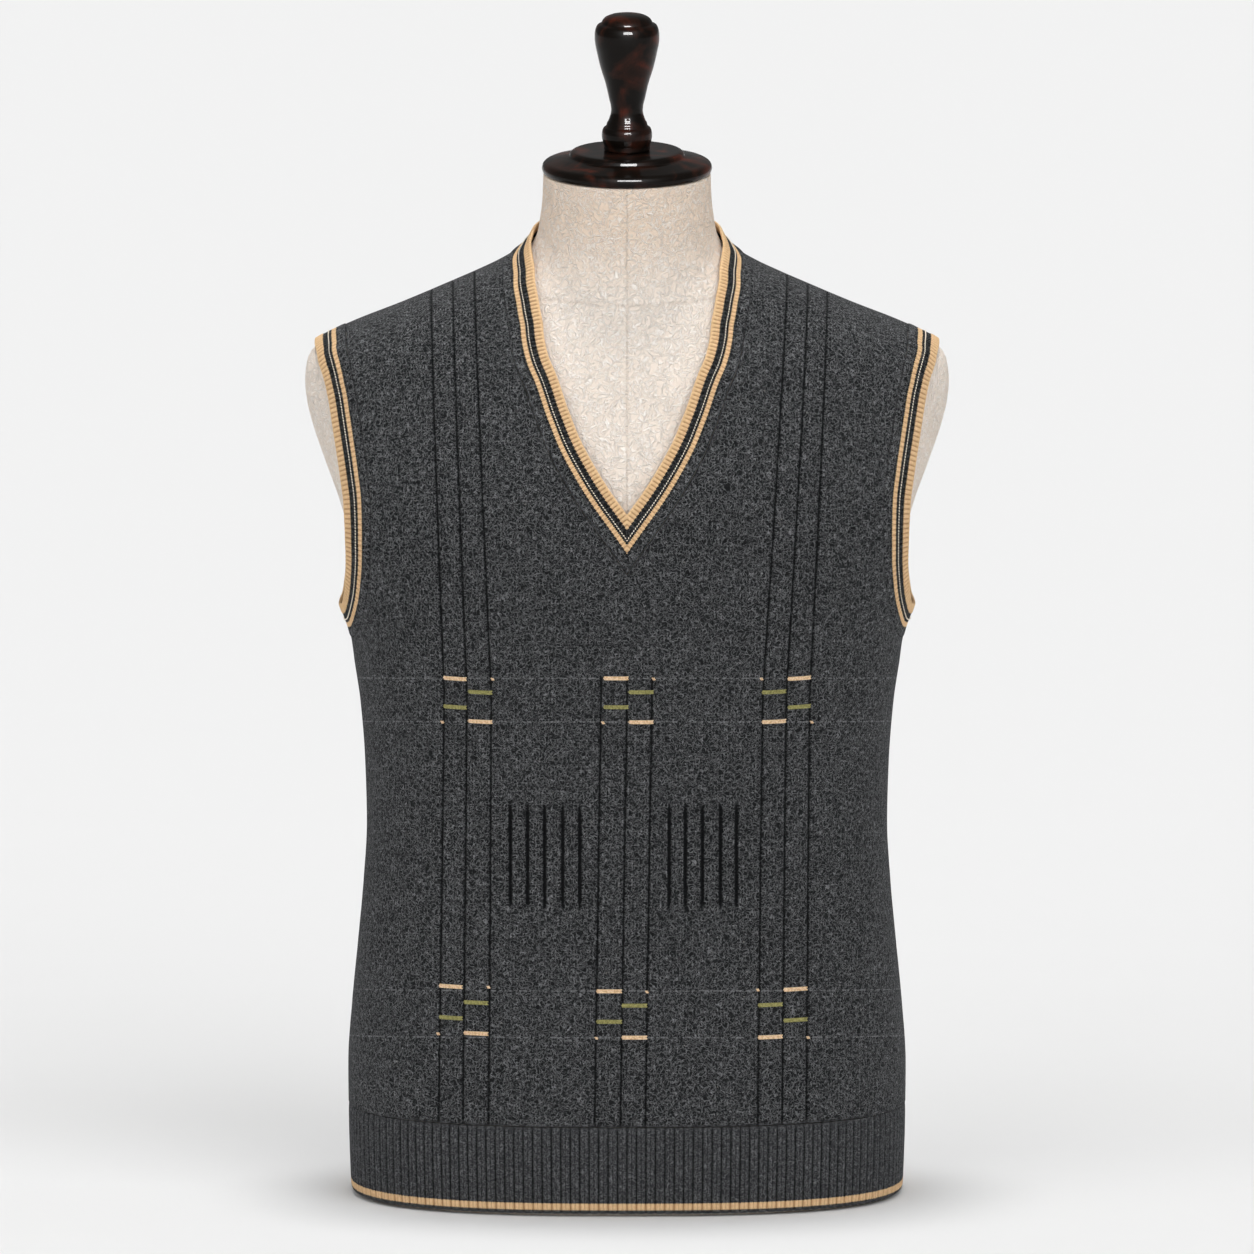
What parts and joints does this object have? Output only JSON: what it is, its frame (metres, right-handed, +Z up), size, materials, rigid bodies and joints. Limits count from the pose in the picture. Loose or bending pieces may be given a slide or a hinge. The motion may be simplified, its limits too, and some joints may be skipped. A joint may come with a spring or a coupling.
{
  "type": "knitted sweater vest on a dress form",
  "caption": "Sleeveless V-neck knitted sweater vest with striped rib bands, worn by a limbless table-top dress form with a turned wooden neck cap and finial.",
  "frame": {"origin": "on the table under the middle of the form's base", "axes": "+Z up, the vest's front faces -Y, +X is to the right of someone facing it"},
  "size_m": [0.4234, 0.2332, 0.7852],
  "materials": {
    "body_knit": "felted charcoal heather knit",
    "rib_knit": "charcoal rib with a tan edge stripe",
    "band_knit": "tan and charcoal striped rib",
    "form_cover": "beige crinkled cloth cover",
    "lacquered_wood": "dark brown high-gloss lacquer"
  },
  "bodies": {
    "root": {"front_panel": "body_knit", "back_panel": "body_knit", "hem_rib_front": "rib_knit", "hem_rib_back": "rib_knit", "neckband": "band_knit", "armhole_band_right": "band_knit", "armhole_band_left": "band_knit", "dress_form": "form_cover", "neck_cap": "lacquered_wood", "finial": "lacquered_wood"}
  },
  "joints": []
}
